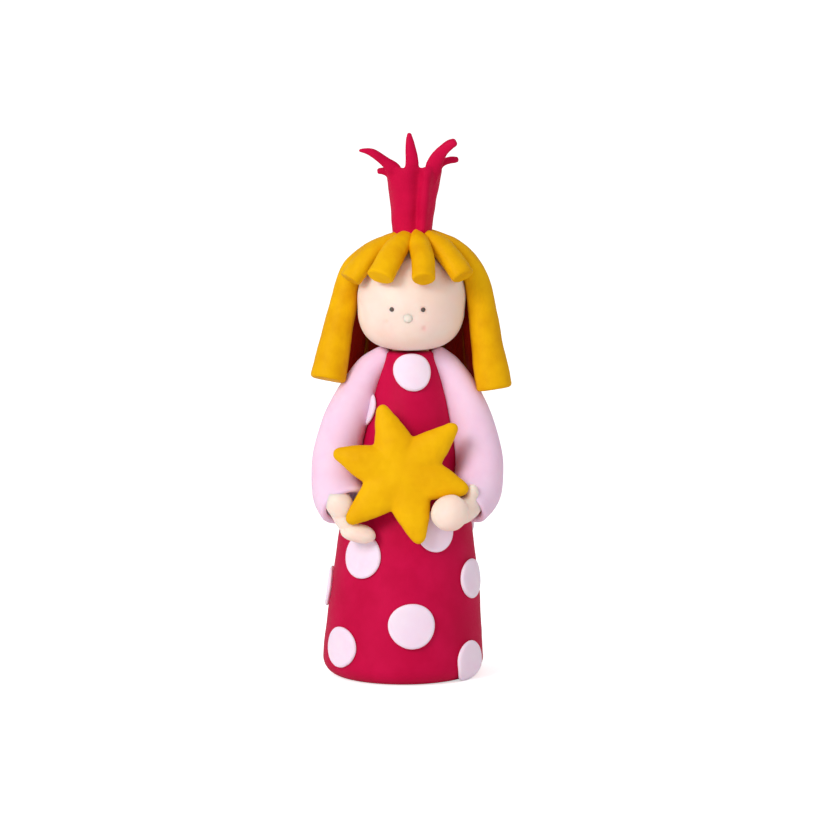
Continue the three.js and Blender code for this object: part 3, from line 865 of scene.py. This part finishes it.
STAR_MIDDLE = Vector((-1.3, -18.2, 58.4))
STAR_TILT = 0.203             # radians that the star leans back against the dress
STAR_THICKNESS = 5.6
STAR_ARMS = {109: 20.0, 43.5: 19.7, -13.8: 18.4, -75: 19.9, -138: 20.0, 163: 20.2}     # angle: reach
STAR_ARM = (                  # share of the reach, half width, share of the thickness
    (0, 5.6, 1), (0.25, 6.0, 1), (0.5, 5.1, 0.97), (0.75, 3.4, 0.84), (1, 1.3, 0.5),
)


def make_star():
    """Six uneven arms rubbed together at the middle into one soft pillow."""
    bm = bmesh.new()
    half = STAR_THICKNESS / 2
    for angle, reach in STAR_ARMS.items():
        turn = math.radians(angle)
        knots = [(reach * share * math.cos(turn), reach * share * math.sin(turn), 0, width, half * thick)
                 for share, width, thick in STAR_ARM]
        strand(bm, knots, (0, 0, -90), sides=28, rings=30, start_round=1.5, end_round=1.3)
    egg(bm, (0, 0, 0), (10.5, 10.5, half * 1.02))
    bm = welded(bm, 0.33, 7)
    knead(bm, 0.4, 7.0, 9)
    knead(bm, 0.12, 2.0, 4)
    place = Matrix.Translation(STAR_MIDDLE) @ Matrix.Rotation(math.pi / 2 - STAR_TILT, 4, "X")
    bmesh.ops.transform(bm, matrix=place, verts=bm.verts)
    return finish_piece(bm, "star_pillow", "star", STAR_YELLOW)


# Assembly

make_dress()
for index in range(1, DOTS + 1):
    make_dot(index, f"dot_{index:02d}")

make_head()
make_bead("nose_ball", "nose", *NOSE_PLACE, 1.5, 0.85, FLESH, "flesh_clay")
for node, right in (("eye_left", FACE_SHIFT - EYE_APART), ("eye_right", FACE_SHIFT + EYE_APART)):
    make_bead(f"{node}_bead", node, right, EYE_LEVEL, 0.64, 0.15, EYE_INK, "eye_ink", squash=0.8)

for node, shape in FRINGE.items():
    make_fringe(node, **shape)
for node, shape in [*LONG_STRANDS.items(), *back_strands()]:
    make_long_strand(node, **shape)

make_crown()
for node, knots in SLEEVES.items():
    make_sleeve(node, knots)
for node, lumps in HANDS.items():
    make_hand(node, **lumps)
make_star()

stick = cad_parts["craft_stick"]
stick.data.materials.clear()
stick.data.materials.append(BIRCH)


# Floor, light and camera

FLOOR_LIFT = 0.6              # brightness the camera sees in the floor, over its own
SKY_STRENGTH = 0.56


def make_floor():
    """A wide pale disc, lifted nearly to white for the camera, that still takes a shadow."""
    bm = bmesh.new()
    bmesh.ops.create_circle(bm, cap_ends=True, segments=96, radius=4.0)
    mesh = bpy.data.meshes.new("floor")
    bm.to_mesh(mesh)
    bm.free()
    floor = bpy.data.objects.new("floor", mesh)
    bpy.context.scene.collection.objects.link(floor)
    material = bpy.data.materials.new("pale_floor")
    material.use_nodes = True
    nodes, links = material.node_tree.nodes, material.node_tree.links
    shader = nodes["Principled BSDF"]
    shader.inputs["Base Color"].default_value = (0.93, 0.93, 0.93, 1)
    shader.inputs["Roughness"].default_value = 0.9
    shader.inputs["Specular IOR Level"].default_value = 0.1
    shader.inputs["Emission Color"].default_value = (1, 1, 1, 1)
    seen = nodes.new("ShaderNodeLightPath")
    lift = nodes.new("ShaderNodeMath")
    lift.operation = "MULTIPLY"
    lift.inputs[1].default_value = FLOOR_LIFT
    links.new(seen.outputs["Is Camera Ray"], lift.inputs[0])
    links.new(lift.outputs[0], shader.inputs["Emission Strength"])
    mesh.materials.append(material)


FIGURE_MIDDLE = Vector((0, 0, 0.08))


def make_lamp(name, place, size, power):
    """A square soft light that faces the figure's middle."""
    light = bpy.data.lights.new(name, "AREA")
    light.size = size
    light.energy = power
    lamp = bpy.data.objects.new(name, light)
    bpy.context.scene.collection.objects.link(lamp)
    lamp.location = place
    aim = FIGURE_MIDDLE - Vector(place)
    lamp.rotation_euler = aim.to_track_quat("-Z", "Y").to_euler()


def make_world():
    """Even soft light from all round, with a white backdrop behind the figure."""
    world = bpy.data.worlds.new("studio")
    world.use_nodes = True
    nodes, links = world.node_tree.nodes, world.node_tree.links
    sky = nodes["Background"]
    sky.inputs["Color"].default_value = (1, 1, 1, 1)
    sky.inputs["Strength"].default_value = SKY_STRENGTH
    backdrop = nodes.new("ShaderNodeBackground")
    backdrop.inputs["Color"].default_value = (1, 1, 1, 1)
    seen = nodes.new("ShaderNodeLightPath")
    choose = nodes.new("ShaderNodeMixShader")
    links.new(seen.outputs["Is Camera Ray"], choose.inputs[0])
    links.new(sky.outputs[0], choose.inputs[1])
    links.new(backdrop.outputs[0], choose.inputs[2])
    links.new(choose.outputs[0], nodes["World Output"].inputs["Surface"])
    bpy.context.scene.world = world


make_floor()
make_world()
make_lamp("key", (-0.7, -0.85, 0.7), 0.5, 8.8)
make_lamp("fill", (0.9, -0.6, 0.2), 0.8, 1.3)

FRAME_WIDTH = 0.2241          # what the picture takes in, across, at the figure
CAMERA_DISTANCE = 1.3
CAMERA_RISE = math.radians(8)
AIM = Vector((0.0012, 0, 0.0740))

camera_data = bpy.data.cameras.new("camera")
camera_data.sensor_width = 36.0
camera_data.lens = camera_data.sensor_width * CAMERA_DISTANCE / FRAME_WIDTH
camera_data.clip_start = 0.05
camera_data.clip_end = 20
camera = bpy.data.objects.new("camera", camera_data)
bpy.context.scene.collection.objects.link(camera)
back = Vector((0, -math.cos(CAMERA_RISE), math.sin(CAMERA_RISE)))
camera.location = AIM + back * CAMERA_DISTANCE
camera.rotation_euler = (-back).to_track_quat("-Z", "Y").to_euler()
bpy.context.scene.camera = camera
bpy.context.scene.view_settings.view_transform = "Standard"
